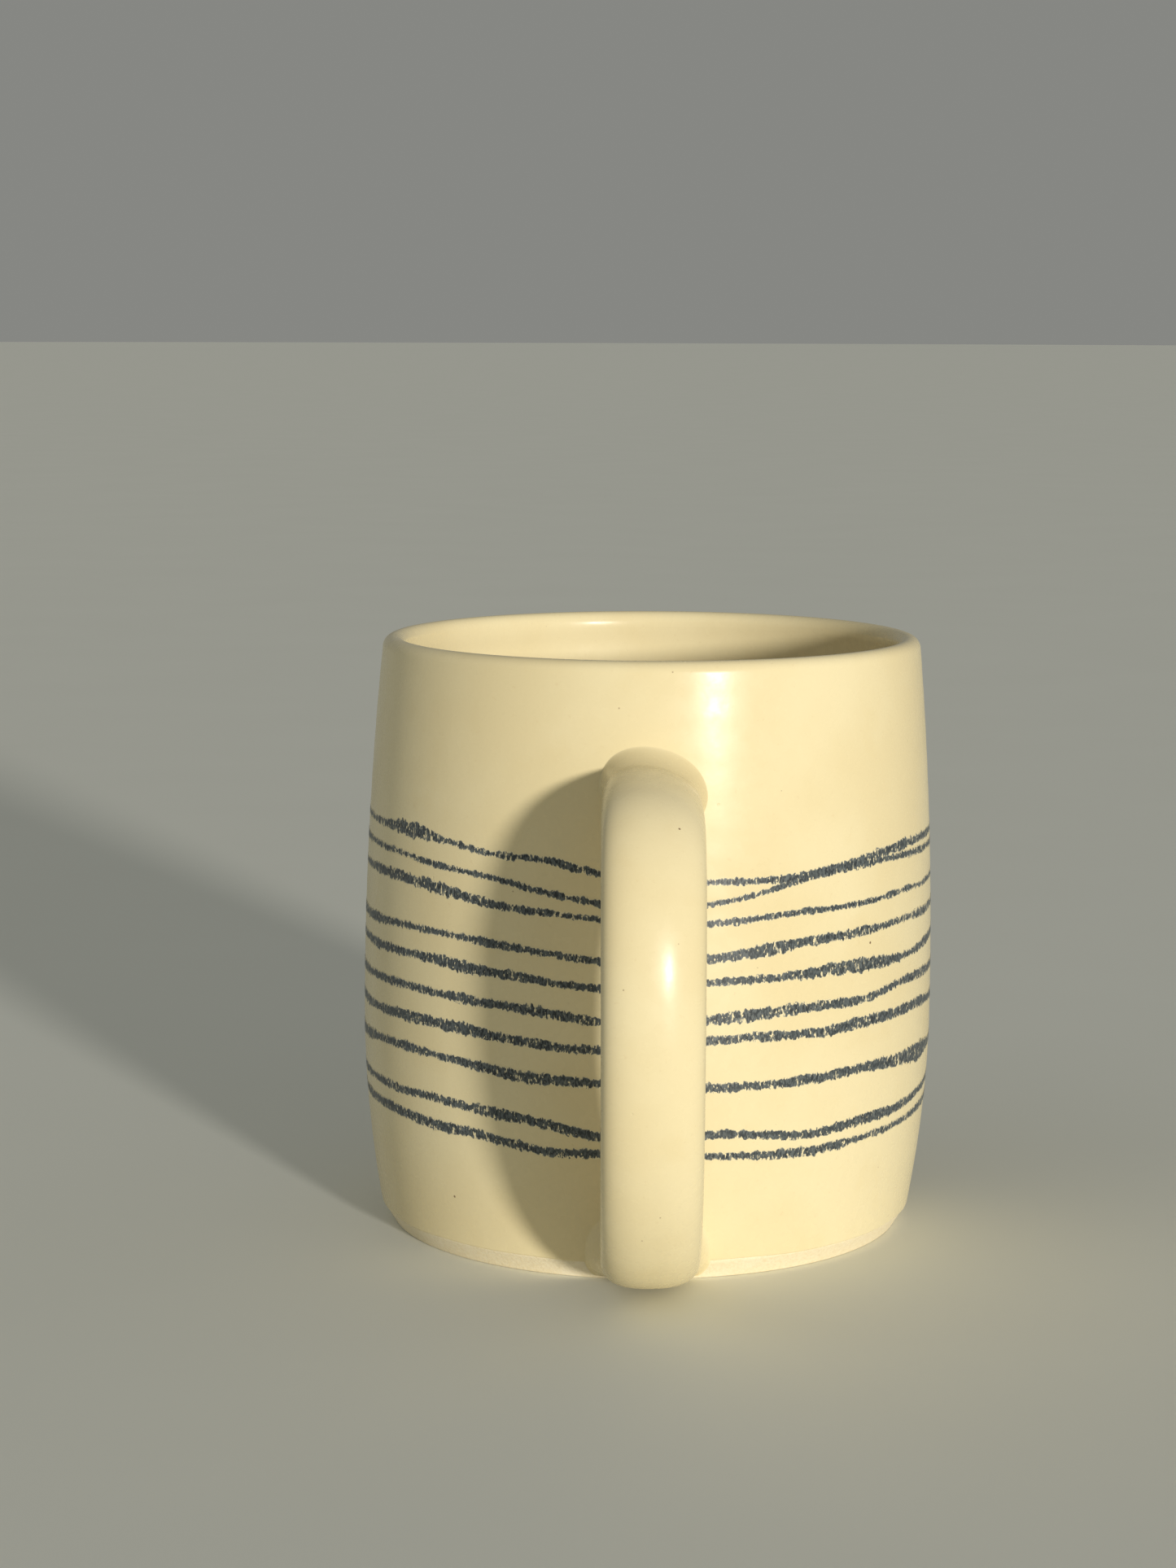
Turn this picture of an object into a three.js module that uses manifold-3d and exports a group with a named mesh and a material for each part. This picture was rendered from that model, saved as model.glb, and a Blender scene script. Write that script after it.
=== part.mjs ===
// A hand-thrown stoneware mug: a barrel-shaped cup, a pulled strap handle, the two slip joints that hold
// the handle to the wall, and ten lines of underglaze pigment drawn round the belly.
// Millimetres, +Z up. The origin is the middle of the flat base, and the handle points along -Y.
import * as THREE from "three";
import { mergeVertices } from "three/addons/utils/BufferGeometryUtils.js";
import Module from "manifold-3d";

// ---- Driving dimensions ----
// Cup
const HEIGHT = 92; // base to the top of the lip
const BELLY_RADIUS = 44.6; // outer radius at the widest place
const BELLY_HEIGHT = 34; // height of the widest place
const RIM_DRAW_IN = 2.7; // how far the wall draws in from the belly to the rim
const FOOT_DRAW_IN = 2.8; // how far it draws in from the belly to the foot band
const FOOT_BAND = 2.8; // height of the bare, bevelled band round the foot
const FOOT_BEVEL = 1.5; // how far that band bevels in at the base
const WALL = 4.2; // wall thickness up to the belly
const LIP_THICKNESS = 3.5; // thickness of the round lip
const FLOOR = 6; // thickness of the floor
const INNER_CORNER = 9; // radius between floor and wall, inside

// Handle
const STRAP_WIDTH = 14.4;
const STRAP_THICKNESS = 8.4;
const STRAP_SQUARENESS = 2.2; // exponent of the strap's superelliptic section; 2 is an ellipse
const HANDLE_REACH = 31.4; // from the wall to the middle of the strap, at the furthest place
const UPPER_ROOT_DROP = 18.7; // from the top of the lip down to the middle of the upper root
const TAIL_LIFT = 0.2; // from the base up to the underside of the lower root
// Knots of the ear between its two roots, as shares of its reach and of the rise between the roots.
const EAR_KNOTS = [
  [0.341, 0.997],
  [0.665, 0.957],
  [0.87, 0.853],
  [1, 0.618],
  [0.952, 0.357],
  [0.661, 0.131],
  [0.347, 0.035],
];

// Slip joints
const UPPER_FLARE = 3.6; // how far the upper fillet spreads over the wall beyond the strap
const LOWER_FLARE = 3;
const COLLAR_EDGE = 0.8; // thickness of a fillet where it runs out along the strap
const COLLAR_TRIM = 1; // the lower fillet is pared away below this height
const JOINT_GAP = 0.3; // clearance between the clay of the wall, strap and fillets
const ROOT_OVERRUN = 4; // how deep in the wall the strap and fillets start before they are cut to it

// Drawn lines. Heights are shares of the band between the two fillets, at four places round the wall.
const PIGMENT = 0.15; // thickness of the drawn pigment
const PIGMENT_GAP = 0.05; // clearance between pigment and wall
const STATIONS = [-60, 0, 60, 180, 300]; // degrees from the handle towards +X; the last is the first again
const LINES = [
  { left: 0.988, handle: 0.915, right: 0.955, back: 0.969, width: 1.3 },
  { left: 0.909, handle: 0.842, right: 0.911, back: 0.903, width: 1.0 },
  { left: 0.844, handle: 0.793, right: 0.809, back: 0.827, width: 1.3 },
  { left: 0.711, handle: 0.684, right: 0.726, back: 0.722, width: 1.4 },
  { left: 0.636, handle: 0.614, right: 0.621, back: 0.627, width: 1.7 },
  { left: 0.535, handle: 0.515, right: 0.541, back: 0.551, width: 1.4 },
  { left: 0.456, handle: 0.442, right: 0.462, back: 0.456, width: 1.5 },
  { left: 0.355, handle: 0.329, right: 0.319, back: 0.342, width: 1.6 },
  { left: 0.229, handle: 0.185, right: 0.178, back: 0.199, width: 1.3 },
  { left: 0.153, handle: 0.125, right: 0.125, back: 0.13, width: 1.4 },
];

// Facets
const ROUND_SIDES = 60; // sides round the cup and the lines
const WALL_STEPS = 12; // steps up each side of the wall
const LIP_STEPS = 6;
const CORNER_STEPS = 5;
const STRAP_SIDES = 20;
const STRAP_STEPS = 36;
const FLARE_STEPS = 5;

// ---- Sizes that follow from them ----
const LIP_RADIUS = LIP_THICKNESS / 2;
const LIP_CENTRE_Z = HEIGHT - LIP_RADIUS;
const UPPER_ROOT_Z = HEIGHT - UPPER_ROOT_DROP;
const LOWER_ROOT_Z = TAIL_LIFT + STRAP_THICKNESS / 2;
const BAND_TOP = UPPER_ROOT_Z - STRAP_THICKNESS / 2 - UPPER_FLARE;
const BAND_BOTTOM = LOWER_ROOT_Z + STRAP_THICKNESS / 2 + LOWER_FLARE;

const wasm = await Module();
wasm.setup();

// Outer radius of the wall at a height: one shallow curve from the belly to the rim, one to the foot band,
// and a straight bevel below that.
function wallRadius(z) {
  if (z < FOOT_BAND) {
    return BELLY_RADIUS - FOOT_DRAW_IN - FOOT_BEVEL * (1 - z / FOOT_BAND);
  }
  const above = z > BELLY_HEIGHT;
  const span = above ? LIP_CENTRE_Z - BELLY_HEIGHT : BELLY_HEIGHT - FOOT_BAND;
  const drawIn = above ? RIM_DRAW_IN : FOOT_DRAW_IN;
  return BELLY_RADIUS - drawIn * ((z - BELLY_HEIGHT) / span) ** 2;
}

// The wall thins evenly from the belly to the lip.
function wallThickness(z) {
  const share = THREE.MathUtils.clamp((z - BELLY_HEIGHT) / (LIP_CENTRE_Z - BELLY_HEIGHT), 0, 1);
  return THREE.MathUtils.lerp(WALL, LIP_THICKNESS, share);
}

// Points of a circular arc in a lathe profile, from one angle to another.
function arc(centreX, centreY, radius, from, to, steps) {
  const points = [];
  for (let i = 0; i <= steps; i++) {
    const angle = THREE.MathUtils.lerp(from, to, i / steps);
    points.push(new THREE.Vector2(centreX + radius * Math.cos(angle), centreY + radius * Math.sin(angle)));
  }
  return points;
}

// Points of the outer wall from one height to another, held off the wall by a gap.
function wallCurve(from, to, steps, gap = 0) {
  const points = [];
  for (let i = 0; i <= steps; i++) {
    const z = THREE.MathUtils.lerp(from, to, i / steps);
    points.push(new THREE.Vector2(wallRadius(z) + gap, z));
  }
  return points;
}

// A profile of (radius, height) turned round the Z axis.
function turned(profile) {
  return new THREE.LatheGeometry(profile, ROUND_SIDES).rotateX(Math.PI / 2);
}

// A closed geometry as a solid that can be joined and cut.
function solid(geometry) {
  const bare = geometry.clone();
  bare.deleteAttribute("normal");
  bare.deleteAttribute("uv");
  const merged = mergeVertices(bare, 1e-4);
  const vertProperties = new Float32Array(merged.attributes.position.array);
  const triVerts = new Uint32Array(merged.index.array);
  return new wasm.Manifold(new wasm.Mesh({ numProp: 3, vertProperties, triVerts }));
}

function geometryOf(manifold) {
  const mesh = manifold.getMesh();
  const geometry = new THREE.BufferGeometry();
  geometry.setAttribute("position", new THREE.BufferAttribute(mesh.vertProperties, 3));
  geometry.setIndex(new THREE.BufferAttribute(mesh.triVerts, 1));
  geometry.computeVertexNormals();
  return geometry;
}

// ---- Cup: floor, wall, round lip and bevelled foot, thrown in one piece ----
function cupBody() {
  const outside = wallCurve(FOOT_BAND, LIP_CENTRE_Z, WALL_STEPS);
  const lipX = wallRadius(LIP_CENTRE_Z) - LIP_RADIUS;
  const lip = arc(lipX, LIP_CENTRE_Z, LIP_RADIUS, 0, Math.PI, LIP_STEPS);
  const cornerZ = FLOOR + INNER_CORNER;
  const inside = wallCurve(LIP_CENTRE_Z, cornerZ, WALL_STEPS);
  for (const point of inside) {
    point.x -= wallThickness(point.y);
  }
  const cornerX = inside.at(-1).x - INNER_CORNER;
  const corner = arc(cornerX, cornerZ, INNER_CORNER, 0, -Math.PI / 2, CORNER_STEPS);
  return turned([
    new THREE.Vector2(0, 0),
    new THREE.Vector2(wallRadius(0), 0),
    ...outside,
    ...lip.slice(1, -1),
    ...inside,
    ...corner.slice(1),
    new THREE.Vector2(0, FLOOR),
  ]);
}

// ---- Space that the wall takes up, grown by the joint gap, to cut the handle's parts against ----
function wallSpace() {
  const below = new THREE.Vector2(wallRadius(0) + JOINT_GAP, -WALL);
  const outside = wallCurve(FOOT_BAND, HEIGHT, WALL_STEPS, JOINT_GAP);
  const foot = new THREE.Vector2(wallRadius(0) + JOINT_GAP, 0);
  return solid(turned([new THREE.Vector2(0, -WALL), below, foot, ...outside, new THREE.Vector2(0, HEIGHT)]));
}

// ---- Handle ----
// Middle line of the strap, from inside the wall at the upper root round to inside the wall at the lower one.
function earCurve() {
  const rise = UPPER_ROOT_Z - LOWER_ROOT_Z;
  const upper = wallRadius(UPPER_ROOT_Z);
  const lower = wallRadius(LOWER_ROOT_Z);
  const knots = EAR_KNOTS.map(([out, up]) => {
    const wall = THREE.MathUtils.lerp(lower, upper, up);
    return new THREE.Vector3(0, -wall - out * HANDLE_REACH, LOWER_ROOT_Z + up * rise);
  });
  const start = new THREE.Vector3(0, -upper + ROOT_OVERRUN, UPPER_ROOT_Z);
  const end = new THREE.Vector3(0, -lower + ROOT_OVERRUN, LOWER_ROOT_Z);
  return new THREE.CatmullRomCurve3([start, ...knots, end], false, "centripetal");
}

// The strap's section, a superellipse, grown by an allowance all round: (across, through) pairs.
function strapSection(grow) {
  const points = [];
  const squared = (value) => Math.sign(value) * Math.abs(value) ** (2 / STRAP_SQUARENESS);
  for (let i = 0; i < STRAP_SIDES; i++) {
    const angle = (2 * Math.PI * i) / STRAP_SIDES;
    const across = (STRAP_WIDTH / 2 + grow) * squared(Math.cos(angle));
    const through = (STRAP_THICKNESS / 2 + grow) * squared(Math.sin(angle));
    points.push([across, through]);
  }
  return points;
}

// Sections set square to a curve in the YZ plane, skinned and capped. A station is a distance along the
// curve and how much the section is grown there.
function sweptStrap(curve, stations) {
  const length = curve.getLength();
  const across = new THREE.Vector3(1, 0, 0);
  const corners = [];
  for (const { distance, grow } of stations) {
    const middle = curve.getPointAt(distance / length);
    const through = curve.getTangentAt(distance / length).cross(across);
    for (const [x, y] of strapSection(grow)) {
      corners.push(middle.clone().addScaledVector(across, x).addScaledVector(through, y));
    }
  }
  const index = [];
  const last = (stations.length - 1) * STRAP_SIDES;
  for (let i = 0; i < STRAP_SIDES; i++) {
    const next = (i + 1) % STRAP_SIDES;
    for (let ring = 0; ring < last; ring += STRAP_SIDES) {
      const far = ring + STRAP_SIDES;
      index.push(ring + i, ring + next, far + next, ring + i, far + next, far + i);
    }
    if (i > 0 && next > 0) {
      index.push(0, next, i, last, last + i, last + next);
    }
  }
  return new THREE.BufferGeometry().setFromPoints(corners).setIndex(index);
}

function strap(curve, grow = 0) {
  const length = curve.getLength();
  const stations = [];
  for (let i = 0; i <= STRAP_STEPS; i++) {
    stations.push({ distance: length * (i / STRAP_STEPS), grow });
  }
  return solid(sweptStrap(curve, stations));
}

// ---- Slip joint: a fillet of smoothed clay round one root, which flares out onto the wall ----
function slipJoint(curve, atUpperRoot, flare) {
  const edge = JOINT_GAP + COLLAR_EDGE;
  const stations = [{ distance: 0, grow: edge + flare }];
  for (const point of arc(flare, ROOT_OVERRUN + flare, flare, -Math.PI / 2, -Math.PI, FLARE_STEPS)) {
    stations.push({ distance: point.y, grow: edge + point.x });
  }
  if (!atUpperRoot) {
    const length = curve.getLength();
    stations.reverse();
    for (const station of stations) {
      station.distance = length - station.distance;
    }
  }
  return solid(sweptStrap(curve, stations));
}

// Everything below the height at which the lower fillet is pared away.
function paredSpace() {
  const size = 4 * BELLY_RADIUS;
  return solid(new THREE.BoxGeometry(size, size, size).translate(0, 0, COLLAR_TRIM - size / 2));
}

// ---- Drawn line: a closed ribbon of pigment that wanders up and down the wall ----
function lineHeight(line, degrees) {
  const shares = [line.left, line.handle, line.right, line.back, line.left];
  const angle = THREE.MathUtils.euclideanModulo(degrees - STATIONS[0], 360) + STATIONS[0];
  const next = Math.max(1, STATIONS.findIndex((station) => station >= angle));
  const t = (angle - STATIONS[next - 1]) / (STATIONS[next] - STATIONS[next - 1]);
  const eased = (1 - Math.cos(Math.PI * t)) / 2;
  const share = THREE.MathUtils.lerp(shares[next - 1], shares[next], eased);
  return THREE.MathUtils.lerp(BAND_BOTTOM, BAND_TOP, share);
}

function drawnLine(line) {
  const inner = PIGMENT_GAP;
  const outer = PIGMENT_GAP + PIGMENT;
  const half = line.width / 2;
  const section = [
    new THREE.Vector2(BELLY_RADIUS + inner, -half),
    new THREE.Vector2(BELLY_RADIUS + outer, -half),
    new THREE.Vector2(BELLY_RADIUS + outer, half),
    new THREE.Vector2(BELLY_RADIUS + inner, half),
    new THREE.Vector2(BELLY_RADIUS + inner, -half),
  ];
  const ribbon = turned(section);
  const at = ribbon.attributes.position;
  for (let i = 0; i < at.count; i++) {
    const angle = Math.atan2(at.getX(i), -at.getY(i));
    const proud = Math.hypot(at.getX(i), at.getY(i)) - BELLY_RADIUS;
    const z = at.getZ(i) + lineHeight(line, THREE.MathUtils.radToDeg(angle));
    const radius = wallRadius(z) + proud;
    at.setXYZ(i, radius * Math.sin(angle), -radius * Math.cos(angle), z);
  }
  return ribbon;
}

// ---- Assembly ----
const glaze = { color: 0xe9dfbd, roughness: 0.38, metalness: 0 };
const pigment = { color: 0x4b5766, roughness: 0.55, metalness: 0 };

function named(name, geometry, finish) {
  const mesh = new THREE.Mesh(geometry, new THREE.MeshStandardMaterial(finish));
  mesh.name = name;
  return mesh;
}

const mug = new THREE.Group();
const ear = earCurve();
const wall = wallSpace();
const strapSpace = strap(ear, JOINT_GAP);

mug.add(named("cup_body", cupBody(), glaze));
mug.add(named("handle", geometryOf(strap(ear).subtract(wall)), glaze));

const taken = wall.add(strapSpace);
const upperJoint = slipJoint(ear, true, UPPER_FLARE).subtract(taken);
const lowerJoint = slipJoint(ear, false, LOWER_FLARE).subtract(taken).subtract(paredSpace());
mug.add(named("upper_slip_joint", geometryOf(upperJoint), glaze));
mug.add(named("lower_slip_joint", geometryOf(lowerJoint), glaze));

LINES.forEach((line, i) => {
  const number = String(i + 1).padStart(2, "0");
  mug.add(named(`underglaze_line_${number}`, drawnLine(line), pigment));
});

export default mug;
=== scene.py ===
"""Looks of a hand-thrown mug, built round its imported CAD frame.

The cup, its bare foot, the strap handle with its two slip joints, and the ten drawn lines are each rebuilt
as a fine mesh in millimetres, in the frame's axes: +Z up, the handle along -Y, the origin in the middle of
the base. Angles go round the cup from the handle towards +X.
"""
import math

import bpy
import numpy as np
from mathutils import Matrix, Vector


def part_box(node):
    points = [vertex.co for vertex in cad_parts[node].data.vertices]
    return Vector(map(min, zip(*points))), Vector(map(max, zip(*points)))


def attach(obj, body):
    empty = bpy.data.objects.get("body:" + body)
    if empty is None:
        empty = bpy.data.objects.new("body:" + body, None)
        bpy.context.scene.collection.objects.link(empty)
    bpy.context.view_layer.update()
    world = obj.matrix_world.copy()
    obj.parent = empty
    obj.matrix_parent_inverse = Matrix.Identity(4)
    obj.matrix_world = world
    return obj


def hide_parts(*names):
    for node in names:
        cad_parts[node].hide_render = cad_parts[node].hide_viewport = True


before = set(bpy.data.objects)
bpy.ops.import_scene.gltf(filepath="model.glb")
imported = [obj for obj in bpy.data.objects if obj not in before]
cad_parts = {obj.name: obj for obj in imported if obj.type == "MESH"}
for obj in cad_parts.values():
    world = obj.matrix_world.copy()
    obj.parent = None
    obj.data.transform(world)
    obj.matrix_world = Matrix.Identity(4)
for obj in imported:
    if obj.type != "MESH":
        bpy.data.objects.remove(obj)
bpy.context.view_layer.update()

MM = 0.001  # metres in a millimetre

# ---- Sizes, in millimetres ----
CUP_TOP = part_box("cup_body")[1] / MM
HEIGHT = CUP_TOP.z
BELLY_RADIUS = CUP_TOP.x
BELLY_HEIGHT = 34.0
RIM_DRAW_IN = 2.7  # how much the wall draws in from the belly up to the lip
FOOT_DRAW_IN = 2.8  # and from the belly down to the foot
FOOT_BAND = 2.8  # height of the bare clay below the glaze
FOOT_BEVEL = 1.5  # how much narrower the base is than the top of that band
WALL = 4.2
LIP_THICKNESS = 3.5
LIP_CENTRE_Z = HEIGHT - LIP_THICKNESS / 2
FLOOR = 6.0
INNER_CORNER = 9.0

# What the potter's hands left: the cup leans a little, is slightly oval, and its wall ripples.
LEAN = 0.0075  # sideways towards +X, per millimetre of height above LEAN_PIVOT
LEAN_PIVOT = 40.0
OVAL = 0.1
RIPPLE_PITCH = 5.2
OUTER_RIPPLE = 0.008
INNER_RIPPLE = 0.07

GLAZE_STEP = 0.22  # how far the edge of the glaze stands out from the bare clay
GLAZE_WAVE = 0.28  # how far that edge wanders up and down

STRAP_WIDTH = 14.4
STRAP_THICKNESS = 8.4
STRAP_SQUARENESS = 2.2  # exponent of the strap's superelliptic section
UPPER_ROUNDNESS = 0.2  # how much lower that is at the upper root
TAIL_SQUARENESS = 0.45  # how much higher it is at the tail
TWIST = 12.0  # degrees that the strap's outer face turns towards +X at the upper root; none at the tail
ROOT_SHARE = 0.12  # share of the strap's length over which its section changes near a root
HANDLE_REACH = 31.4
UPPER_ROOT_Z = HEIGHT - 18.7
LOWER_ROOT_Z = 4.4
# The strap's middle line, as shares of the reach and of the rise from the lower root to the upper.
EAR_KNOTS = [
    (0.341, 0.997), (0.665, 0.957), (0.87, 0.853), (1.0, 0.618), (0.952, 0.357), (0.661, 0.131),
    (0.347, 0.035),
]
EAR_STEPS = 1500

# Where each joint leaves the strap, measured from the root, and how far it runs out over the wall at its
# sides, above and below.
UPPER_START, UPPER_SPREAD = 5.4, (1.0, 2.15, 1.8)
LOWER_START, LOWER_SPREAD = 4.6, (2.4, 3.2, 0.2)
LOWEST_LANDING = 0.55  # height of the lower joint's lowest edge
LANDING_DEPTH = 0.03  # how far a joint's edge lies under the wall's surface
BURIED_DEPTH = 1.2  # how far a joint's hidden end lies under it

CENTRE = 0.4  # radius of the middle ring of the inner floor and of the foot
CUP_SIDES = 256
STRAP_SIDES = 144
STRAP_RINGS = 300
FILLET_RINGS = 28

PIGMENT = "pigment"  # attribute that holds how much pigment lies at each point of a drawn line


# ---- Shapes shared by several pieces ----
def cubic(places, values, where):
    """A natural cubic spline through values at ascending places, read at other places."""
    places, where = np.asarray(places, float), np.asarray(where, float)
    values = np.asarray(values, float).reshape(len(places), -1)
    gap = np.diff(places)
    slope = np.diff(values, axis=0) / gap[:, None]
    system = np.eye(len(places))
    target = np.zeros_like(values)
    for i in range(1, len(places) - 1):
        system[i, i - 1:i + 2] = gap[i - 1], 2 * (gap[i - 1] + gap[i]), gap[i]
        target[i] = 6 * (slope[i] - slope[i - 1])
    bend = np.linalg.solve(system, target)
    i = np.clip(np.searchsorted(places, where) - 1, 0, len(gap) - 1)
    g = gap[i][:, None]
    right = (where - places[i])[:, None]
    left = g - right
    curve = (bend[i] * left**3 + bend[i + 1] * right**3) / (6 * g)
    curve = curve + (values[i] / g - bend[i] * g / 6) * left
    return curve + (values[i + 1] / g - bend[i + 1] * g / 6) * right


def base_radius(z):
    """Outer radius of the wall at a height, before any hand-made unevenness."""
    above = z > BELLY_HEIGHT
    span = np.where(above, LIP_CENTRE_Z - BELLY_HEIGHT, BELLY_HEIGHT - FOOT_BAND)
    draw_in = np.where(above, RIM_DRAW_IN, FOOT_DRAW_IN)
    wall = BELLY_RADIUS - draw_in * ((np.maximum(z, FOOT_BAND) - BELLY_HEIGHT) / span) ** 2
    return wall - FOOT_BEVEL * (1 - np.minimum(z, FOOT_BAND) / FOOT_BAND)


def hand_made(radius, angle, z, ripple):
    """Points at a radius, an angle and a height on the leaning, oval, rippled cup."""
    wave = np.sin(2 * np.pi * z / RIPPLE_PITCH + angle) * (1 + 0.5 * np.sin(z / 7 + 2 * angle))
    radius = radius + OVAL * np.cos(2 * angle + 0.6) * np.minimum(radius / WALL, 1) + ripple * wave
    lean = LEAN * (z - LEAN_PIVOT)
    return np.stack([radius * np.sin(angle) + lean, -radius * np.cos(angle), z + 0 * angle], -1)


def wall_point(angle, z, proud=0.0):
    """Points on the wall, or so far outside it."""
    return hand_made(base_radius(z) + proud, angle, z, OUTER_RIPPLE)


def wall_normal(angle, z):
    step = 0.02
    up = wall_point(angle, z + step) - wall_point(angle, z - step)
    along = wall_point(angle + step / BELLY_RADIUS, z) - wall_point(angle - step / BELLY_RADIUS, z)
    normal = np.cross(along, up)
    return normal / np.linalg.norm(normal, axis=-1, keepdims=True)


def arc(centre, radius, start, end, steps):
    """(radius, height) points of an arc, between two angles in degrees."""
    turn = np.radians(np.linspace(start, end, steps))
    return np.stack([centre[0] + radius * np.cos(turn), centre[1] + radius * np.sin(turn)], -1)


# ---- Meshes ----
def piece(name, points, faces, material, slot, nodes=(), normals=None):
    """A smooth mesh that rides on the frame. Points are in millimetres."""
    mesh = bpy.data.meshes.new(name)
    mesh.from_pydata((np.asarray(points) * MM).tolist(), [], faces)
    mesh.shade_smooth()
    if normals is not None:
        mesh.normals_split_custom_set_from_vertices(np.asarray(normals).tolist())
    mesh.materials.append(material)
    made = bpy.data.objects.new(name, mesh)
    bpy.context.scene.collection.objects.link(made)
    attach(made, "root")
    if nodes:
        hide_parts(*nodes)
    return made


def tube(grid):
    """Points and faces of a closed skin over rings of points, with a fan over each end."""
    rings, sides = grid.shape[:2]
    points = np.concatenate([grid.reshape(-1, 3), [grid[0].mean(0), grid[-1].mean(0)]])
    at = np.arange(rings * sides).reshape(rings, sides)
    near, far = at[:-1], at[1:]
    after_near, after_far = np.roll(near, -1, axis=1), np.roll(far, -1, axis=1)
    faces = np.stack([near, after_near, after_far, far], -1).reshape(-1, 4).tolist()
    faces += [[rings * sides, b, a] for a, b in zip(near[0], after_near[0])]
    faces += [[rings * sides + 1, a, b] for a, b in zip(far[-1], after_far[-1])]
    return points, faces


def turned(profile, ripple):
    """Rings of a (radius, height) profile turned round the cup's axis."""
    angle = np.linspace(0, 2 * np.pi, CUP_SIDES, endpoint=False)[None, :]
    radius, z = profile[:, :1], profile[:, 1:]
    return hand_made(radius, angle, z, np.asarray(ripple)[:, None])


def skin(name, grid, *rest):
    """A piece made of a closed skin over rings of points."""
    points, faces = tube(grid)
    piece(name, points, faces, *rest)


# ---- Materials ----
class Nodes:
    """A short way to write a node material."""

    def __init__(self, name):
        self.material = bpy.data.materials.new(name)
        self.material.use_nodes = True
        self.tree = self.material.node_tree
        self.shader = self.tree.nodes["Principled BSDF"]
        self.place = self.tree.nodes.new("ShaderNodeTexCoord").outputs["Object"]

    def link(self, output, socket):
        self.tree.links.new(output, socket)

    def set(self, **values):
        for key, value in values.items():
            self.shader.inputs[key.replace("_", " ")].default_value = value

    def noise(self, size_mm, detail=3.0, rough=0.5, stretch=(1, 1, 1), seed=0.0):
        """Noise from 0 to 1 with features of a size in millimetres."""
        mapping = self.tree.nodes.new("ShaderNodeMapping")
        mapping.inputs["Scale"].default_value = stretch
        mapping.inputs["Location"].default_value = (seed, seed, seed)
        self.link(self.place, mapping.inputs["Vector"])
        node = self.tree.nodes.new("ShaderNodeTexNoise")
        node.inputs["Scale"].default_value = 1 / (size_mm * MM)
        node.inputs["Detail"].default_value = detail
        node.inputs["Roughness"].default_value = rough
        self.link(mapping.outputs["Vector"], node.inputs["Vector"])
        return node.outputs["Fac"]

    def cells(self, size_mm, seed=0.0):
        """(distance to the nearest scattered point in millimetres, a random number for each cell)."""
        mapping = self.tree.nodes.new("ShaderNodeMapping")
        mapping.inputs["Location"].default_value = (seed, seed, seed)
        self.link(self.place, mapping.inputs["Vector"])
        node = self.tree.nodes.new("ShaderNodeTexVoronoi")
        node.inputs["Scale"].default_value = 1 / (size_mm * MM)
        self.link(mapping.outputs["Vector"], node.inputs["Vector"])
        pick = self.tree.nodes.new("ShaderNodeSeparateColor")
        self.link(node.outputs["Color"], pick.inputs["Color"])
        return self.math("MULTIPLY", node.outputs["Distance"], size_mm), pick.outputs["Red"]

    def math(self, operation, a, b, clamp=False):
        node = self.tree.nodes.new("ShaderNodeMath")
        node.operation = operation
        node.use_clamp = clamp
        for socket, value in zip(node.inputs, (a, b)):
            if isinstance(value, (int, float)):
                socket.default_value = value
            else:
                self.link(value, socket)
        return node.outputs[0]

    def ramp(self, value, low, high, start=0.0, end=1.0):
        """value from low..high to start..end, smoothly and clamped."""
        node = self.tree.nodes.new("ShaderNodeMapRange")
        node.interpolation_type = "SMOOTHSTEP"
        self.link(value, node.inputs["Value"])
        for socket, number in zip(list(node.inputs)[1:5], (low, high, start, end)):
            socket.default_value = number
        return node.outputs["Result"]

    def mix(self, factor, a, b, blend="MIX"):
        node = self.tree.nodes.new("ShaderNodeMix")
        node.data_type = "RGBA"
        node.blend_type = blend
        for socket, value in ((node.inputs[0], factor), (node.inputs[6], a), (node.inputs[7], b)):
            if isinstance(value, float):
                socket.default_value = value
            elif isinstance(value, tuple):
                socket.default_value = (*value, 1.0)
            else:
                self.link(value, socket)
        return node.outputs[2]

    def bump(self, heights):
        """Bumps in turn: (height from 0 to 1, its depth in millimetres)."""
        normal = None
        for height, depth_mm in heights:
            node = self.tree.nodes.new("ShaderNodeBump")
            node.inputs["Distance"].default_value = depth_mm * MM
            self.link(height, node.inputs["Height"])
            if normal is not None:
                self.link(normal, node.inputs["Normal"])
            normal = node.outputs["Normal"]
        self.link(normal, self.shader.inputs["Normal"])


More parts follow.
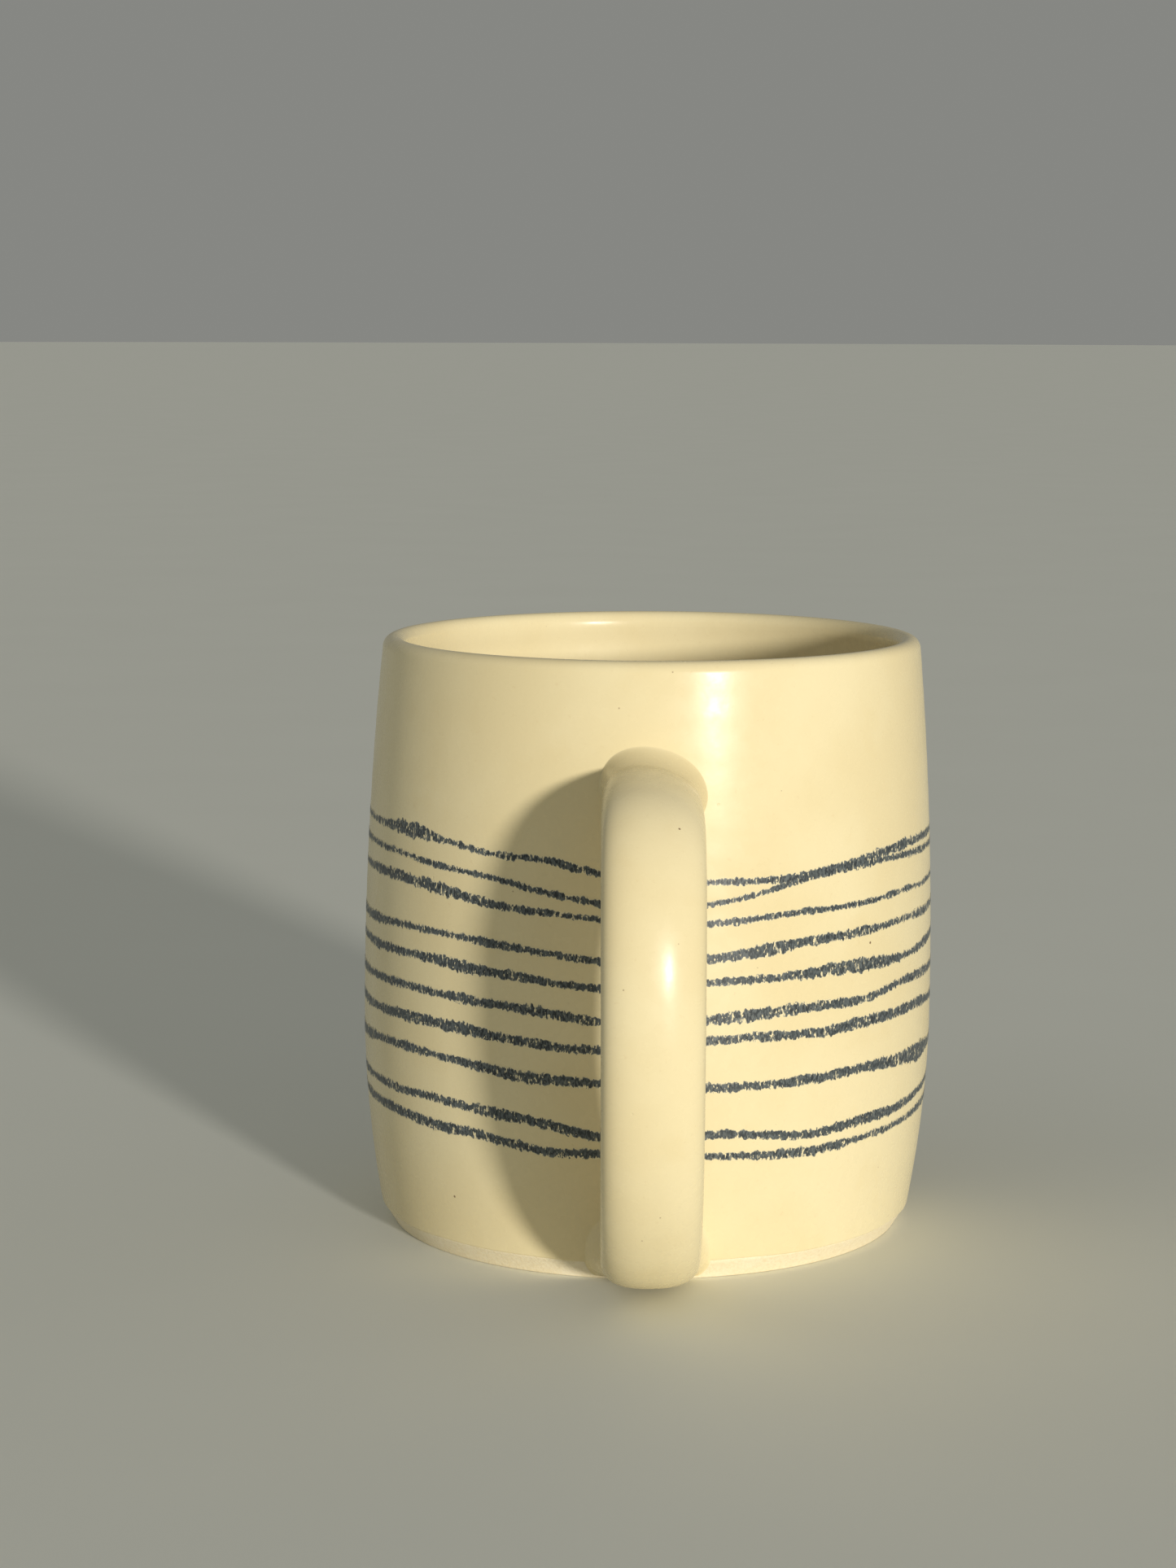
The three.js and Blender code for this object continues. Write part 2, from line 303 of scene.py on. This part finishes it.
def satin_glaze():
    """Cream satin glaze: soft mottling, faint brown freckles, a few iron specks and pinholes."""
    m = Nodes("satin_glaze")
    mottle = m.noise(26, detail=4)
    cloud = m.noise(6, detail=3, seed=3.0)
    freckle = m.noise(0.9, detail=2, seed=7.0)
    colour = m.mix(m.ramp(mottle, 0.35, 0.65), (0.80, 0.685, 0.405), (0.84, 0.735, 0.455))
    colour = m.mix(m.ramp(cloud, 0.55, 0.8, 0.0, 0.35), colour, (0.78, 0.655, 0.37))
    colour = m.mix(m.ramp(freckle, 0.66, 0.8, 0.0, 0.25), colour, (0.70, 0.55, 0.30))
    near, pick = m.cells(8, seed=1.7)
    iron = m.math("MULTIPLY", m.ramp(near, 0.25, 0.14), m.ramp(pick, 0.5, 0.52))
    colour = m.mix(iron, colour, (0.24, 0.16, 0.09))
    dust, chosen = m.cells(4, seed=9.1)
    fine = m.math("MULTIPLY", m.ramp(dust, 0.17, 0.08, 0.0, 0.6), m.ramp(chosen, 0.62, 0.66))
    colour = m.mix(fine, colour, (0.30, 0.20, 0.11))
    m.link(colour, m.shader.inputs["Base Color"])
    m.link(m.ramp(m.noise(2.2, detail=4, seed=5.0), 0.3, 0.7, 0.23, 0.31), m.shader.inputs["Roughness"])
    pit, which = m.cells(4.2, seed=4.4)
    pinhole = m.math("MULTIPLY", m.ramp(pit, 0.22, 0.1), m.ramp(which, 0.7, 0.72))
    m.bump([(m.noise(1.6, detail=3, seed=2.0), 0.01), (m.math("SUBTRACT", 1.0, pinhole), 0.025)])
    m.set(IOR=1.5, Specular_IOR_Level=0.2)
    return m.material


def bare_clay():
    """Unglazed pale stoneware: matt and sandy, with a few dark grains."""
    m = Nodes("bare_clay")
    grain = m.noise(0.5, detail=5, rough=0.65)
    stain = m.noise(7, detail=3, seed=6.0)
    colour = m.mix(m.ramp(grain, 0.35, 0.7), (0.87, 0.78, 0.56), (0.81, 0.70, 0.47))
    colour = m.mix(m.ramp(stain, 0.45, 0.75, 0.0, 0.4), colour, (0.92, 0.85, 0.68))
    near, pick = m.cells(2.2, seed=2.3)
    grog = m.math("MULTIPLY", m.ramp(near, 0.2, 0.1), m.ramp(pick, 0.55, 0.6))
    colour = m.mix(grog, colour, (0.38, 0.25, 0.14))
    m.link(colour, m.shader.inputs["Base Color"])
    m.link(m.ramp(grain, 0.3, 0.7, 0.74, 0.92), m.shader.inputs["Roughness"])
    m.bump([(grain, 0.09), (m.math("SUBTRACT", 1.0, grog), 0.12)])
    m.set(IOR=1.45)
    return m.material


def underglaze_pencil():
    """Chalky slate pigment that bleeds into the glaze: upright strokes, paler where less was laid down."""
    m = Nodes("underglaze_pencil")
    laid = m.tree.nodes.new("ShaderNodeAttribute")
    laid.attribute_name = PIGMENT
    upright = (1, 1, 0.45)
    strokes = m.noise(0.42, detail=3, rough=0.65, stretch=upright)
    press = m.noise(5, detail=3, seed=4.0)
    worn = m.noise(0.3, detail=2, stretch=upright, seed=8.0)
    fleck = m.noise(0.3, detail=3, rough=0.6, stretch=upright, seed=11.0)
    depth = m.math("ADD", laid.outputs["Fac"], m.math("MULTIPLY", m.math("SUBTRACT", strokes, 0.46), 0.75))
    depth = m.math("SUBTRACT", depth, m.ramp(worn, 0.54, 0.7, 0.0, 0.36))
    cream = (0.83, 0.73, 0.46)
    slate = m.mix(m.ramp(fleck, 0.4, 0.62), (0.034, 0.041, 0.046), (0.135, 0.155, 0.155))
    slate = m.mix(m.ramp(press, 0.4, 0.7, 0.0, 0.5), slate, (0.075, 0.09, 0.094))
    haze = m.mix(m.ramp(depth, -0.07, 0.08), cream, (0.24, 0.25, 0.215))
    colour = m.mix(m.ramp(depth, 0.0, 0.2), haze, slate)
    m.link(colour, m.shader.inputs["Base Color"])
    m.link(m.ramp(strokes, 0.3, 0.7, 0.34, 0.46), m.shader.inputs["Roughness"])
    m.bump([(strokes, 0.012)])
    m.set(IOR=1.5, Specular_IOR_Level=0.3)
    return m.material


def pale_floor():
    m = Nodes("pale_floor")
    colour = m.mix(m.noise(60, detail=2), (0.80, 0.81, 0.74), (0.83, 0.84, 0.77))
    m.link(colour, m.shader.inputs["Base Color"])
    m.set(Roughness=0.75)
    return m.material


GLAZE, CLAY, PENCIL = satin_glaze(), bare_clay(), underglaze_pencil()


# ---- Cup ----
def glazed_cup():
    """The glazed part of the cup: the wall above the bare foot, the round lip and the whole inside."""
    lip_radius = LIP_THICKNESS / 2
    edge_z = FOOT_BAND + 0.05
    foot = float(base_radius(np.array(edge_z)))
    bead = arc((foot - GLAZE_STEP, edge_z + GLAZE_STEP * 1.6), GLAZE_STEP * 1.25, -90, 0, 6)
    under = np.array([(0.0, bead[0, 1]), (foot / 2, bead[0, 1]), (foot - 2 * GLAZE_STEP, bead[0, 1])])
    z = np.concatenate([edge_z + np.array([0.75, 1.2, 1.8]), np.linspace(edge_z + 2.35, LIP_CENTRE_Z, 110)])
    outside = np.stack([base_radius(z), z], -1)
    lip = arc((outside[-1, 0] - lip_radius, LIP_CENTRE_Z), lip_radius, 0, 180, 18)[1:-1]
    corner_z = FLOOR + INNER_CORNER
    z = np.linspace(LIP_CENTRE_Z, corner_z, 84)
    thin = np.clip((z - BELLY_HEIGHT) / (LIP_CENTRE_Z - BELLY_HEIGHT), 0, 1)
    inside = np.stack([base_radius(z) - WALL + thin * (WALL - LIP_THICKNESS), z], -1)
    corner = arc((inside[-1, 0] - INNER_CORNER, corner_z), INNER_CORNER, 0, -90, 14)[1:]
    radii = np.linspace(corner[-1, 0], CENTRE, 16)[1:]
    floor = np.stack([radii, np.full_like(radii, FLOOR)], -1)
    parts = [(under, 0), (bead, 0), (outside, OUTER_RIPPLE), (lip, OUTER_RIPPLE), (inside, INNER_RIPPLE),
             (corner, INNER_RIPPLE), (floor, 0)]
    profile = np.concatenate([points for points, _ in parts])
    ripple = np.concatenate([np.full(len(points), size) for points, size in parts])
    fade = np.clip((profile[:, 1] - edge_z) / 6, 0, 1) * np.clip((HEIGHT - profile[:, 1]) / 4 + 0.3, 0, 1)
    grid = turned(profile, ripple * fade)
    angle = np.linspace(0, 2 * np.pi, CUP_SIDES, endpoint=False)
    wave = GLAZE_WAVE * (np.sin(3 * angle + 1) + 0.6 * np.sin(7 * angle) + 0.3 * np.sin(16 * angle + 2)) / 1.9
    rows = len(under) + len(bead) + 3
    grid[:rows, :, 2] += wave * np.exp(-(profile[:rows, 1:] - edge_z) / 1.2)
    skin("glazed_cup", grid, GLAZE, "satin_glaze", ["cup_body"])


def bare_foot():
    """The unglazed foot: a flat base, a soft edge and a bevelled band that runs up under the glaze."""
    base = float(base_radius(np.array(0.0))) - GLAZE_STEP
    band = float(base_radius(np.array(FOOT_BAND))) - GLAZE_STEP
    soft = 0.45  # radius of the worn edge
    under = 1.6  # how far the clay runs up under the glaze
    flat = [(radius, 0) for radius in (*np.linspace(CENTRE, base - 2 * soft, 5), base - soft)]
    edge = arc((base - soft, soft), soft, -80, -28, 6)
    rise = np.linspace(0.15, 1, 9)[:, None]
    bevel = edge[-1] + rise * (np.array([band, FOOT_BAND]) - edge[-1])
    top = [(band, FOOT_BAND + 1.4), (band - 2, FOOT_BAND + under), (CENTRE, FOOT_BAND + under)]
    profile = np.concatenate([flat, edge, bevel, top])
    skin("bare_foot", turned(profile, np.zeros(len(profile))), CLAY, "bare_clay", ["cup_body"])


glazed_cup()
bare_foot()


# ---- Handle and slip joints ----
def ear():
    """Distances, (radius, height) points and directions on the strap's middle line, from its upper root."""
    upper, lower = base_radius(np.array([UPPER_ROOT_Z, LOWER_ROOT_Z]))
    rise = UPPER_ROOT_Z - LOWER_ROOT_Z
    knots = [(upper, UPPER_ROOT_Z)]
    knots += [(lower + up * (upper - lower) + out * HANDLE_REACH, LOWER_ROOT_Z + up * rise)
              for out, up in EAR_KNOTS]
    knots = np.array(knots + [(lower, LOWER_ROOT_Z)])
    places = np.concatenate([[0], np.cumsum(np.linalg.norm(np.diff(knots, axis=0), axis=1))])
    fine = cubic(places, knots, np.linspace(0, places[-1], EAR_STEPS))
    length = np.concatenate([[0], np.cumsum(np.linalg.norm(np.diff(fine, axis=0), axis=1))])
    even = np.linspace(0, length[-1], EAR_STEPS)
    line = np.stack([np.interp(even, length, fine[:, i]) for i in (0, 1)], -1)
    direction = np.gradient(line, axis=0)
    return even, line, direction / np.linalg.norm(direction, axis=1, keepdims=True)


def strap_sections(share):
    """Outlines of the twisted strap along its length and their outward directions, as (across, through)."""
    turn = np.linspace(0, 2 * np.pi, STRAP_SIDES, endpoint=False)
    near_upper, near_tail = (np.exp(-((away / ROOT_SHARE) ** 2)) for away in (share, 1 - share))
    # Rounder and narrower at the upper root, squarer at the tail, and all along it thins and wavers a little.
    power = 2 / (STRAP_SQUARENESS - UPPER_ROUNDNESS * near_upper + TAIL_SQUARENESS * near_tail)[:, None]
    half_width = STRAP_WIDTH / 2 * (1.02 - 0.03 * share + 0.006 * np.sin(9 * share) - 0.05 * near_upper)
    half_depth = STRAP_THICKNESS / 2 * (1.03 - 0.03 * share + 0.012 * np.sin(11 * share + 1))
    across, through = [half[:, None] * np.sign(wave) * np.abs(wave) ** power
                       for half, wave in ((half_width, np.cos(turn)), (half_depth, np.sin(turn)))]
    outward = np.stack([np.cos(turn) / STRAP_WIDTH, np.sin(turn) / STRAP_THICKNESS], -1)
    outward /= np.linalg.norm(outward, axis=1, keepdims=True)
    twist = np.radians(TWIST * (1 - share))[:, None]

    def twisted(a, b):
        return np.stack([a * np.cos(twist) + b * np.sin(twist), b * np.cos(twist) - a * np.sin(twist)], -1)

    return twisted(across, through), twisted(*outward.T)


def onto_wall(start, direction):
    """Angle and height where straight lines from the strap meet the wall."""
    furthest, halvings = 30.0, 40
    near, far = np.zeros(len(start)), np.full(len(start), furthest)
    for _ in range(halvings):
        middle = (near + far) / 2
        at = start + middle[:, None] * direction
        angle = np.arctan2(at[:, 0], -at[:, 1])
        outside = np.hypot(at[:, 0], at[:, 1]) > np.hypot(*wall_point(angle, at[:, 2])[:, :2].T)
        near, far = np.where(outside, middle, near), np.where(outside, far, middle)
    return angle, at[:, 2]


def fillet(ring, towards, outward, spread, lowest):
    """Rings of a joint from the wall to a ring of the strap, and the wall's normals where it lands.
    spread is how far it runs out over the wall at the sides, above and below."""
    angle, z = onto_wall(ring, towards)
    foot = wall_point(angle, z)
    sides, above, below = spread
    reach = sides + (np.where(outward[:, 1] > 0, above, below) - sides) * np.abs(outward[:, 1]) ** 3
    landing_angle = angle + outward[:, 0] * reach / BELLY_RADIUS
    landing_z = np.maximum(z + outward[:, 1] * reach, lowest)
    landing = wall_point(landing_angle, landing_z, -LANDING_DEPTH)
    rings = [wall_point(landing_angle, landing_z, -BURIED_DEPTH)]
    # It leaves the strap straight on and arrives along the wall.
    leaving = ring + 0.5 * (foot - ring)
    arriving = foot + 0.7 * (landing - foot)
    for t in np.linspace(1, 0, FILLET_RINGS, endpoint=False):
        near_strap = (1 - t) ** 3 * ring + 3 * t * (1 - t) ** 2 * leaving
        rings.append(near_strap + 3 * t**2 * (1 - t) * arriving + t**3 * landing)
    return np.array(rings), wall_normal(landing_angle, landing_z)


def grid_normals(grid):
    """Outward normals at the points of a grid of rings."""
    along = np.gradient(grid, axis=0)
    around = np.roll(grid, -1, axis=1) - np.roll(grid, 1, axis=1)
    normal = np.cross(around, along)
    return normal / np.linalg.norm(normal, axis=-1, keepdims=True)


def handle_and_joints():
    """One skin over the upper joint, the strap and the lower joint, cut into its three pieces."""
    distance, line, direction = ear()
    total = distance[-1]
    places = np.linspace(UPPER_START, total - LOWER_START, STRAP_RINGS)
    middle = np.stack([np.interp(places, distance, line[:, i]) for i in (0, 1)], -1)
    along = np.stack([np.interp(places, distance, direction[:, i]) for i in (0, 1)], -1)
    along /= np.linalg.norm(along, axis=1, keepdims=True)
    share = places / total
    section, outward = strap_sections(share)
    grid = np.zeros((STRAP_RINGS, STRAP_SIDES, 3))
    grid[..., 0], depth = section[..., 0], section[..., 1]
    grid[..., 1] = -(middle[:, :1] - along[:, 1:] * depth)
    grid[..., 2] = middle[:, 1:] + along[:, :1] * depth
    to_wall = np.array([0, along[0, 0], -along[0, 1]])
    upper, upper_wall = fillet(grid[0], to_wall, outward[0], UPPER_SPREAD, 0)
    to_wall = np.array([0, -along[-1, 0], along[-1, 1]])
    lower, lower_wall = fillet(grid[-1], to_wall, outward[-1] * [1, -1], LOWER_SPREAD, LOWEST_LANDING)
    whole = np.concatenate([upper, grid, lower[::-1]])
    normals = grid_normals(whole)
    blended = 3  # rings over which the wall's normals fade into the joint's own
    for rows, wall in ((range(0, blended + 1), upper_wall), (range(-1, -blended - 2, -1), lower_wall)):
        for step, row in enumerate(rows):
            blend = np.clip(1 - (step - 1) / blended, 0, 1)
            mixed = (1 - blend) * normals[row] + blend * wall
            normals[row] = mixed / np.linalg.norm(mixed, axis=-1, keepdims=True)
    first, last = len(upper), len(upper) + STRAP_RINGS - 1
    cuts = [
        ("upper_slip_joint", 0, first),
        ("handle", first, last),
        ("lower_slip_joint", last, len(whole) - 1),
    ]
    hidden_ends = np.array([[0, 0, 1.0], [0, 0, 1.0]])
    for name, start, end in cuts:
        points, faces = tube(whole[start:end + 1])
        given = np.concatenate([normals[start:end + 1].reshape(-1, 3), hidden_ends])
        piece(f"{name}_glazed", points, faces, GLAZE, "satin_glaze", [name], given)


handle_and_joints()


# ---- Drawn lines ----
# Heights of each line's middle, in millimetres above the base, at these places round the cup in degrees.
STATIONS = [-70, -45, -30, -20, -12, 14, 30, 45, 60, 75, 120, 180, 240]
LINES = [
    # heights, width, and places pressed harder as (degrees, extra width, spread in degrees)
    ([64.9, 64.4, 63.3, 63.0, 61.7, 60.2, 60.4, 61.6, 62.5, 62.6, 63.2, 64.0, 64.6],
     0.92, [(-55, 1.1, 8), (62, 0.5, 14)]),
    ([61.3, 60.6, 59.6, 58.3, 57.2, 57.2, 59.9, 61.0, 61.0, 60.6, 60.2, 60.8, 61.6],
     0.85, [(38, 0.55, 9)]),
    ([57.4, 56.9, 55.7, 55.4, 55.0, 54.3, 55.0, 55.1, 55.5, 55.5, 55.8, 56.6, 57.2],
     0.85, [(-50, 0.9, 18)]),
    ([50.0, 50.5, 49.9, 49.3, 48.8, 49.1, 50.6, 50.9, 51.2, 51.1, 51.3, 50.8, 50.2],
     1.2, [(30, 0.4, 20)]),
    ([46.0, 46.2, 45.7, 45.1, 44.8, 45.6, 45.8, 45.8, 45.5, 46.3, 46.6, 46.0, 45.7],
     1.15, [(42, 0.9, 12), (-42, 0.5, 12)]),
    ([41.1, 41.4, 41.0, 40.5, 40.0, 40.1, 40.6, 40.7, 41.6, 41.5, 41.9, 41.4, 41.0],
     1.35, [(20, 0.45, 8)]),
    ([36.4, 36.9, 36.2, 35.7, 35.6, 37.0, 36.9, 37.0, 37.3, 36.9, 36.5, 36.9, 36.6],
     1.45, [(-45, 0.3, 10)]),
    ([31.3, 32.0, 31.2, 30.8, 30.6, 29.8, 29.9, 30.1, 29.6, 29.5, 30.2, 31.0, 31.2],
     1.4, [(69, 1.2, 9)]),
    ([25.0, 25.1, 24.7, 24.0, 22.8, 22.7, 21.6, 22.1, 22.3, 23.0, 23.6, 24.2, 24.8],
     1.25, [(-30, 0.3, 10)]),
    ([21.5, 21.2, 20.6, 19.7, 19.7, 19.4, 18.8, 19.1, 19.6, 20.2, 20.8, 21.2, 21.4],
     1.2, [(-45, 0.5, 12)]),
]
LINE_COLUMNS = 2400  # cells round the cup
LINE_ROW = 0.13  # height of a cell
LINE_REACH = 1.7  # how far cells reach above and below the line's middle
LINE_PROUD = 0.03  # how far the pigment lies above the wall
LAP = -0.015  # added to that for every odd line, so that lines that touch don't lie in one surface
BLEED = 0.1  # how far the pigment bleeds into the glaze beyond its drawn edge


def lattice_noise(rng, u, v, columns):
    """Smooth noise from -1 to 1, which repeats after so many columns in u."""
    rows = int(np.ptp(v)) + 3
    values = rng.uniform(-1, 1, (columns, rows))
    v = v - v.min()
    i, j = np.floor(u).astype(int), np.floor(v).astype(int)
    fu, fv = u - i, v - j
    fu, fv = fu * fu * (3 - 2 * fu), fv * fv * (3 - 2 * fv)
    i, after = i % columns, (i + 1) % columns
    low = values[i, j] * (1 - fu) + values[after, j] * fu
    high = values[i, j + 1] * (1 - fu) + values[after, j + 1] * fu
    return low * (1 - fv) + high * fv


def drawn_line(number, heights, width, pressed):
    """How far inside the pencil's ragged stroke each point of a line's grid lies, and where the grid is."""
    rng = np.random.default_rng(100 + number)
    places = STATIONS[-3:] + [s + 360 for s in STATIONS] + [s + 720 for s in STATIONS[:3]]
    heights = heights[-3:] + heights + heights[:3]
    degrees = np.arange(LINE_COLUMNS) * 360 / LINE_COLUMNS
    first = STATIONS[0]
    middle = cubic(places, heights, first + 360 + (degrees - first) % 360)[:, 0]
    half = np.full(LINE_COLUMNS, width / 2)
    for place, extra, spread in pressed:
        away = (degrees - place + 180) % 360 - 180
        half += extra / 2 * np.exp(-((away / spread) ** 2))
    offset = np.arange(-LINE_REACH, LINE_REACH + LINE_ROW / 2, LINE_ROW)
    column, off = np.meshgrid(np.arange(LINE_COLUMNS), offset, indexing="ij")

    def noise(along_mm, across_mm, slant=0.0):
        columns = round(2 * np.pi * BELLY_RADIUS / along_mm)
        u = column * columns / LINE_COLUMNS + slant * off / along_mm
        return lattice_noise(rng, u, off / across_mm, columns)

    wander = 0.16 * noise(9, 40) + 0.07 * noise(2.4, 40)
    teeth = noise(0.42, 1.6, 0.2) + 0.5 * noise(0.36, 0.35)
    load = noise(14, 60)
    swell = half[:, None] * (1 + 0.2 * noise(6, 60)) + 0.06 * load
    edge = swell - np.abs(off + wander) + (0.1 + 0.2 * swell) * teeth
    grain = 0.88 + 0.12 * load - np.maximum(noise(0.34, 1.2, 0.25), 0.85 * noise(0.4, 0.6, -0.3))
    field = np.minimum(edge, 0.5 * grain)
    return field + BLEED, degrees, middle, offset


def ribbon(field, degrees, middle, offset, proud):
    """Points on the wall, quads of the cells inside the field, and each point's number in the field.
    Points at the edge are drawn in to where the field is zero."""
    after = np.roll(field, -1, axis=0)
    mean = (field[:, :-1] + field[:, 1:] + after[:, :-1] + after[:, 1:]) / 4
    kept = mean > 0
    trims = 3  # rounds of taking off cells that touch fewer than two others
    for _ in range(trims):
        padded = np.pad(kept.astype(int), ((0, 0), (1, 1)))
        beside = padded[:, :-2] + padded[:, 2:]
        beside += np.roll(padded, 1, 0)[:, 1:-1] + np.roll(padded, -1, 0)[:, 1:-1]
        kept &= beside >= 2
    columns, rows = field.shape
    used = np.zeros((columns, rows), int)
    for du in (0, 1):
        for dv in (0, 1):
            used[:, dv:rows - 1 + dv] += np.roll(kept, du, axis=0)
    round_step = 2 * np.pi * BELLY_RADIUS / columns
    slope_u = (np.roll(field, -1, 0) - np.roll(field, 1, 0)) / (2 * round_step)
    slope_v = np.gradient(field, LINE_ROW, axis=1)
    least_slope = 0.3  # keeps points still where the field is nearly level
    steep = slope_u**2 + slope_v**2 + least_slope
    rim = (used > 0) & (used < 4)
    most = 0.45  # of a cell that a point may move
    limit_u, limit_v = most * round_step, most * LINE_ROW
    move_u = np.where(rim, np.clip(-field * slope_u / steep, -limit_u, limit_u), 0)
    move_v = np.where(rim, np.clip(-field * slope_v / steep, -limit_v, limit_v), 0)
    angle = np.radians(degrees)[:, None] + move_u / BELLY_RADIUS
    z = middle[:, None] + offset + move_v
    points = wall_point(angle, z, proud)
    at = np.arange(columns * rows).reshape(columns, rows)
    nxt = np.roll(at, -1, axis=0)
    cells = np.stack([at[:, :-1], nxt[:, :-1], nxt[:, 1:], at[:, 1:]], -1)[kept]
    numbers, faces = np.unique(cells, return_inverse=True)
    return points.reshape(-1, 3)[numbers], faces.reshape(-1, 4).tolist(), numbers


def with_line_above(field, middle, offset, above):
    """The deeper of this line's field and the one above's, at the same places on the wall."""
    field_above, middle_above = above
    deeper = field.copy()
    for column, shift in enumerate(middle - middle_above):
        there = np.interp(shift + offset, offset, field_above[column], left=-1, right=-1)
        deeper[column] = np.maximum(deeper[column], there)
    return deeper


def drawn_lines():
    above = None
    for number, (heights, width, pressed) in enumerate(LINES, 1):
        field, degrees, middle, offset = drawn_line(number, heights, width, pressed)
        points, faces, used = ribbon(field, degrees, middle, offset, LINE_PROUD + LAP * (number % 2))
        pigment = (with_line_above(field, middle, offset, above) if above else field).ravel()[used]
        above = field, middle
        node = f"underglaze_line_{number:02d}"
        made = piece(f"pencil_line_{number:02d}", points, faces, PENCIL, "underglaze_pigment", [node])
        laid = made.data.attributes.new(PIGMENT, "FLOAT", "POINT")
        laid.data.foreach_set("value", pigment - BLEED)


drawn_lines()


# ---- Stage ----
def floor():
    """A wide round floor at the height of the mug's base."""
    radius, sides = 12.0, 96  # radius in metres
    turn = np.linspace(0, 2 * np.pi, sides, endpoint=False)
    ring = np.stack([radius * np.cos(turn), radius * np.sin(turn), 0 * turn], -1)
    mesh = bpy.data.meshes.new("floor")
    mesh.from_pydata(ring.tolist(), [], [list(range(sides))])
    mesh.materials.append(pale_floor())
    made = bpy.data.objects.new("floor", mesh)
    bpy.context.scene.collection.objects.link(made)


def softbox(name, azimuth, elevation, spread, strength, colour):
    """A far light that looks so many degrees wide, at an azimuth measured from the handle towards +X."""
    data = bpy.data.lights.new(name, "SUN")
    data.angle = math.radians(spread)
    data.energy = strength
    data.color = colour
    light = bpy.data.objects.new(name, data)
    a, e = math.radians(azimuth), math.radians(elevation)
    back = Vector((math.sin(a) * math.cos(e), -math.cos(a) * math.cos(e), math.sin(e)))
    light.rotation_mode = "QUATERNION"
    light.rotation_quaternion = (-back).to_track_quat("-Z", "Y")
    bpy.context.scene.collection.objects.link(light)


def studio():
    softbox("key", azimuth=26, elevation=7, spread=5, strength=2.9, colour=(1.0, 0.95, 0.875))
    softbox("fill", azimuth=-60, elevation=40, spread=50, strength=0.12, colour=(0.96, 0.98, 1.0))
    world = bpy.data.worlds.new("studio")
    world.use_nodes = True
    background = world.node_tree.nodes["Background"]
    background.inputs["Color"].default_value = (0.80, 0.81, 0.76, 1.0)
    background.inputs["Strength"].default_value = 0.3
    bpy.context.scene.world = world
    bpy.context.scene.view_settings.view_transform = "Standard"


def camera():
    """At the photograph's viewing angle: a long lens, a little above the rim, with the handle towards it."""
    distance, height = 527.7, 143.0  # millimetres
    round_by, yaw, pitch, roll = (math.radians(x) for x in (-0.69, -1.026, 8.05, 0.17))
    forward = Vector((math.sin(yaw) * math.cos(pitch), math.cos(yaw) * math.cos(pitch), -math.sin(pitch)))
    level = Vector((math.cos(yaw), -math.sin(yaw), 0))
    upright = level.cross(forward)
    right = level * math.cos(roll) + upright * math.sin(roll)
    up = upright * math.cos(roll) - level * math.sin(roll)
    place = Matrix((right, up, -forward)).transposed().to_4x4()
    place.translation = Vector((0, -distance, height)) * MM
    data = bpy.data.cameras.new("camera")
    data.sensor_width = 36.0
    data.lens = 78.0
    made = bpy.data.objects.new("camera", data)
    made.matrix_world = Matrix.Rotation(round_by, 4, "Z") @ place
    bpy.context.scene.collection.objects.link(made)
    bpy.context.scene.camera = made


floor()
studio()
camera()
